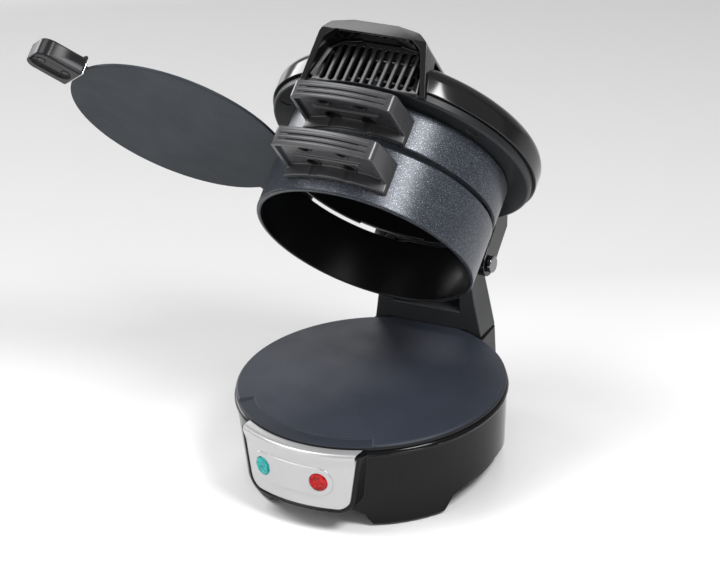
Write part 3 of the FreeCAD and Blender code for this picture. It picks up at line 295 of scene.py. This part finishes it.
def coated(name, colour, rough, sparkle, metal=0.0, specular=0.5, painted_shade_bore=None, painted_shade_edge=None):
    """A sprayed non-stick coat with fine flakes; inside a bore, and below an edge, its colour can be painted nearly
    black as painted shade.
    """
    material = plastic(name, colour, rough, specular=specular, grain=1700.0, grain_depth=0.12, metal=metal)
    tree = material.node_tree
    shader = tree.nodes["Principled BSDF"]
    place = tree.nodes["Texture Coordinate"].outputs["Object"]
    base = shader.inputs["Base Color"].links[0].from_socket
    flakes = add_node(tree, "ShaderNodeTexNoise", [("Vector", place)], Scale=2600.0, Detail=1.0)
    mask = ramp_node(tree, flakes.outputs["Fac"], (0.60, (0.0,)), (0.72, (1.0,)))
    mix = tree.nodes.new("ShaderNodeMix")
    mix.data_type = "RGBA"
    mix.inputs["B"].default_value = list(sparkle) + [1]
    tree.links.new(mask, mix.inputs["Factor"])
    tree.links.new(base, mix.inputs["A"])
    base = mix.outputs["Result"]
    # Painted shade: inside the given radius of the ring's bore the colour is painted nearly black.
    if painted_shade_bore:
        turn = tree.nodes.new("ShaderNodeMapping")
        turn.vector_type = "TEXTURE"
        turn.inputs["Location"].default_value = RING_CENTRE
        turn.inputs["Rotation"].default_value = (-LEAN, 0, 0)
        tree.links.new(place, turn.inputs["Vector"])
        parts = add_node(tree, "ShaderNodeSeparateXYZ", [(0, turn.outputs["Vector"])])
        flat = add_node(tree, "ShaderNodeCombineXYZ", [("X", parts.outputs["X"]), ("Y", parts.outputs["Y"])])
        reach = tree.nodes.new("ShaderNodeVectorMath")
        reach.operation = "LENGTH"
        tree.links.new(flat.outputs["Vector"], reach.inputs[0])
        wall = add_node(tree, "ShaderNodeMapRange", [("Value", reach.outputs["Value"])], From_Min=painted_shade_bore,
                        From_Max=painted_shade_bore + 0.0004)
        bore_shade_mix = tree.nodes.new("ShaderNodeMix")
        bore_shade_mix.data_type = "RGBA"
        bore_shade_mix.inputs["A"].default_value = (0.006, 0.006, 0.007, 1)
        tree.links.new(wall.outputs["Result"], bore_shade_mix.inputs["Factor"])
        tree.links.new(base, bore_shade_mix.inputs["B"])
        base = bore_shade_mix.outputs["Result"]
    # Painted shade: below the given height the colour is painted nearly black, the shade under an edge.
    if painted_shade_edge:
        parts = add_node(tree, "ShaderNodeSeparateXYZ", [(0, place)])
        above = add_node(tree, "ShaderNodeMapRange", [("Value", parts.outputs["Z"])], From_Min=painted_shade_edge - 0.0004,
                         From_Max=painted_shade_edge)
        edge_shade_mix = tree.nodes.new("ShaderNodeMix")
        edge_shade_mix.data_type = "RGBA"
        edge_shade_mix.inputs["A"].default_value = (0.007, 0.008, 0.010, 1)
        tree.links.new(above.outputs["Result"], edge_shade_mix.inputs["Factor"])
        tree.links.new(base, edge_shade_mix.inputs["B"])
        base = edge_shade_mix.outputs["Result"]
    tree.links.new(base, shader.inputs["Base Color"])
    return material


# Painted shade: below 0.0462 m the slate coat is painted near-black, the shade on the turned-down edge under the
# plate's rim.
slate = coated("slate_coat", (0.024, 0.028, 0.040), 0.50, (0.045, 0.052, 0.068), specular=0.22, painted_shade_edge=0.0462)
softened("lower_heating_plate", slate, 0.0005)
element_sheath = plastic("element_sheath", (0.32, 0.31, 0.30), 0.4, metal=1.0, tone=0.15)
dressed("lower_heating_element", element_sheath)
bright_sheet = plastic("bright_sheet", (0.6, 0.6, 0.6), 0.28, metal=1.0, tone=0.05)
for hidden in ("lower_heat_shield", "thermostat", "thermal_fuse"):
    dressed(hidden, bright_sheet)
dressed("shield_screws", zinc)
dressed("terminal_block", plastic("ceramic", (0.7, 0.67, 0.6), 0.4))
wire_skin = plastic("wire_skin", (0.35, 0.03, 0.025), 0.4)
dressed("base_wiring", wire_skin)

# Hinge tower.
# A satin black moulding screwed up from the base, forked at the top for the hinge, with a flat cover on its
# back. A plated pin runs through it, held by two pressed caps, and the cord leaves through a rubber bush.
tower_black = plastic("tower_black", (0.024, 0.025, 0.027), 0.34, specular=0.35, grain=1300.0)
softened("hinge_tower", tower_black, 0.0006)
dressed("tower_back_cover", satin_black)
dressed("tower_screws", zinc)
nickel = plastic("nickel_plate", (0.72, 0.72, 0.73), 0.14, metal=1.0, grain_depth=0.01, tone=0.03)
dressed("hinge_pin", nickel)
softened("pin_caps", plastic("dark_steel", (0.22, 0.22, 0.23), 0.22, metal=1.0, tone=0.08), 0.0007)
softened("cord_bush", rubber, 0.0004)

# Hinge brackets.
# Black painted steel arms with knuckles that turn on the pin. Their flat blades carry the rings.
bracket_paint = plastic("bracket_paint", (0.02, 0.02, 0.021), 0.4)
softened("lower_hinge_bracket", bracket_paint, 0.0005)
softened("upper_hinge_bracket", bracket_paint, 0.0005)

# Rings.
# Deep metal hoops with a grey metallic non-stick coat, their inside wall painted near-black as painted shade. Each has
# a socket behind that slides over its bracket's blade, and lugs in front for its handle.
LEAN = math.radians(53)
RING_CENTRE = (0.0, 0.0291, 0.1414)
# Painted shade: the ring's inner wall, inside 0.0550 m, is painted near-black.
ring_coat = coated("ring_coat", (0.030, 0.034, 0.043), 0.31, (0.28, 0.31, 0.37), metal=0.3, specular=0.4,
                   painted_shade_bore=0.0550)
softened("lower_ring", ring_coat, 0.0005)
softened("upper_ring", ring_coat, 0.0005)
black_screw = plastic("black_screw", (0.03, 0.03, 0.03), 0.4, metal=0.6)
for name in ("lower", "upper"):
    dressed(f"{name}_handle_screws", black_screw)

# Ring handles.
# Solid grey satin mouldings screwed to the rings' lugs from below, with a bar along the root, a rib across the
# underside, and grooves round the tip where a finger lifts them.
handle_grey = plastic("handle_grey", (0.044, 0.044, 0.047), 0.25, specular=0.5, grain=1400.0, grain_depth=0.06)
HINGE_LINE = (0, 0.0731, 0.083)


def leant_back(bm, name, finish):
    """Finishes a piece drawn with the lid closed, and leans it back about the hinge with the ring it is on."""
    bmesh.ops.rotate(bm, cent=HINGE_LINE, matrix=Matrix.Rotation(-LEAN, 3, "X"), verts=bm.verts)
    return finished(bm, name, finish)


for name, tip, ceiling in (("lower", 0.0669, 0.0596), ("upper", 0.0931, 0.0861)):
    softened(f"{name}_ring_handle", handle_grey, 0.0006)
    ridges = bmesh.new()
    for drop in (0.0017, 0.0047, 0.0075):
        circle = bmesh.ops.create_circle(ridges, radius=0.0013, segments=10)["verts"]
        bmesh.ops.scale(ridges, verts=circle, vec=(0.75, 1, 1))
        bmesh.ops.rotate(ridges, verts=circle, matrix=Matrix.Rotation(math.pi / 2, 3, "X"))
        bmesh.ops.rotate(ridges, verts=circle, matrix=Matrix.Rotation(math.pi / 2, 3, "Z"))
        bmesh.ops.translate(ridges, verts=circle, vec=(0, -0.0802, tip - drop))
        bmesh.ops.rotate(ridges, cent=(0, 0.02, 0), verts=circle, matrix=Matrix.Rotation(math.radians(-13.5), 3, "Z"))
        rim = list({edge for corner in circle for edge in corner.link_edges})
        bmesh.ops.spin(ridges, geom=circle + rim, cent=(0, 0.02, 0), axis=(0, 0, 1), angle=math.radians(27), steps=14)
    bmesh.ops.holes_fill(ridges, edges=[edge for edge in ridges.edges if edge.is_boundary], sides=12)
    # Each screw hole is lined with a thin satin black sleeve and lip: painted shade in the hole.
    wells = bmesh.new()
    for x, y, hole in ((-0.0098, -0.0616, 0.0032), (0.0098, -0.0616, 0.0032), (-0.0098, -0.0745, 0.0028),
                       (0.0098, -0.0745, 0.0028)):
        outline = ((-0.0002, 0.0036), (-0.0002, -0.0003), (0.0002, -0.0007), (0.0008, -0.0006), (0.0010, 0.0),
                   (-0.0001, 0.0003), (-0.0001, 0.0036))
        loop = [wells.verts.new((x + hole + out, y, ceiling + up)) for out, up in outline]
        sides = [wells.edges.new((a, b)) for a, b in zip(loop, loop[1:] + loop[:1])]
        bmesh.ops.spin(wells, geom=loop + sides, cent=(x, y, 0), axis=(0, 0, 1), angle=math.tau, steps=24, use_merge=True)
    for piece in (leant_back(ridges, f"{name}_grip_ridges", handle_grey),
                  leant_back(wells, f"{name}_shaded_screw_wells", satin_black)):
        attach(piece, BODY_OF[f"{name}_ring_handle"])

# Swing-out plate.
# A thin aluminium disc with the slate coat. Its tongue turns on a pin between two black blocks on the upper
# ring, and its neck runs into a black grip behind a bright collar.
plate_coat = coated("plate_coat", (0.026, 0.031, 0.038), 0.50, (0.045, 0.052, 0.066), specular=0.12)
softened("cooking_plate", plate_coat, 0.0004)
for block in ("plate_pivot_hub", "plate_pivot_retainer", "plate_pivot_bracket"):
    softened(block, satin_black, 0.0007)
dressed("plate_pivot_pin", nickel)
grip_black = plastic("grip_black", (0.016, 0.016, 0.018), 0.24, specular=0.12)
softened("plate_handle", grip_black, 0.0010, 4)
softened("plate_handle_ferrule", nickel, 0.0004)
dressed("plate_handle_screws", black_screw)

# Lid.
# A glossy black shell with the hood of its handle moulded in, and two ears that hang on the hinge pin. A grille
# closes the hood's back, and a dark metal rim carries the upper heating plate, element and fuse.
lid_gloss = plastic("lid_gloss", (0.006, 0.006, 0.006), 0.10, specular=0.45, grain=700.0, grain_depth=0.012)
softened("lid_shell", lid_gloss, 0.0005, 3, smooth=55)
grille_black = plastic("grille_black", (0.013, 0.013, 0.014), 0.22)
softened("handle_grille", grille_black, 0.0004)
strip_bar = bmesh.new()
bmesh.ops.create_cube(strip_bar, size=1)
bmesh.ops.scale(strip_bar, verts=strip_bar.verts, vec=(0.040, 0.0012, 0.0022))
bmesh.ops.bevel(strip_bar, geom=strip_bar.edges[:], offset=0.0003, segments=2, profile=0.5, affect="EDGES", material=-1)
bmesh.ops.translate(strip_bar, verts=strip_bar.verts, vec=(0, -0.0396, 0.1293))
light_strip = leant_back(strip_bar, "hood_light_strip", grille_black)
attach(light_strip, BODY_OF["handle_grille"])
softened("lid_rim", plastic("rim_paint", (0.014, 0.015, 0.017), 0.4, specular=0.25), 0.0005)
softened("upper_heating_plate", plate_coat, 0.0005)
dressed("upper_heating_element", element_sheath)
for hidden in ("upper_heat_shield", "upper_thermal_fuse"):
    dressed(hidden, plastic("dull_sheet", (0.16, 0.16, 0.16), 0.5, metal=1.0))
for fixing in ("lid_shield_screws", "lid_screws"):
    dressed(fixing, black_screw)
dressed("lid_wiring", wire_skin)
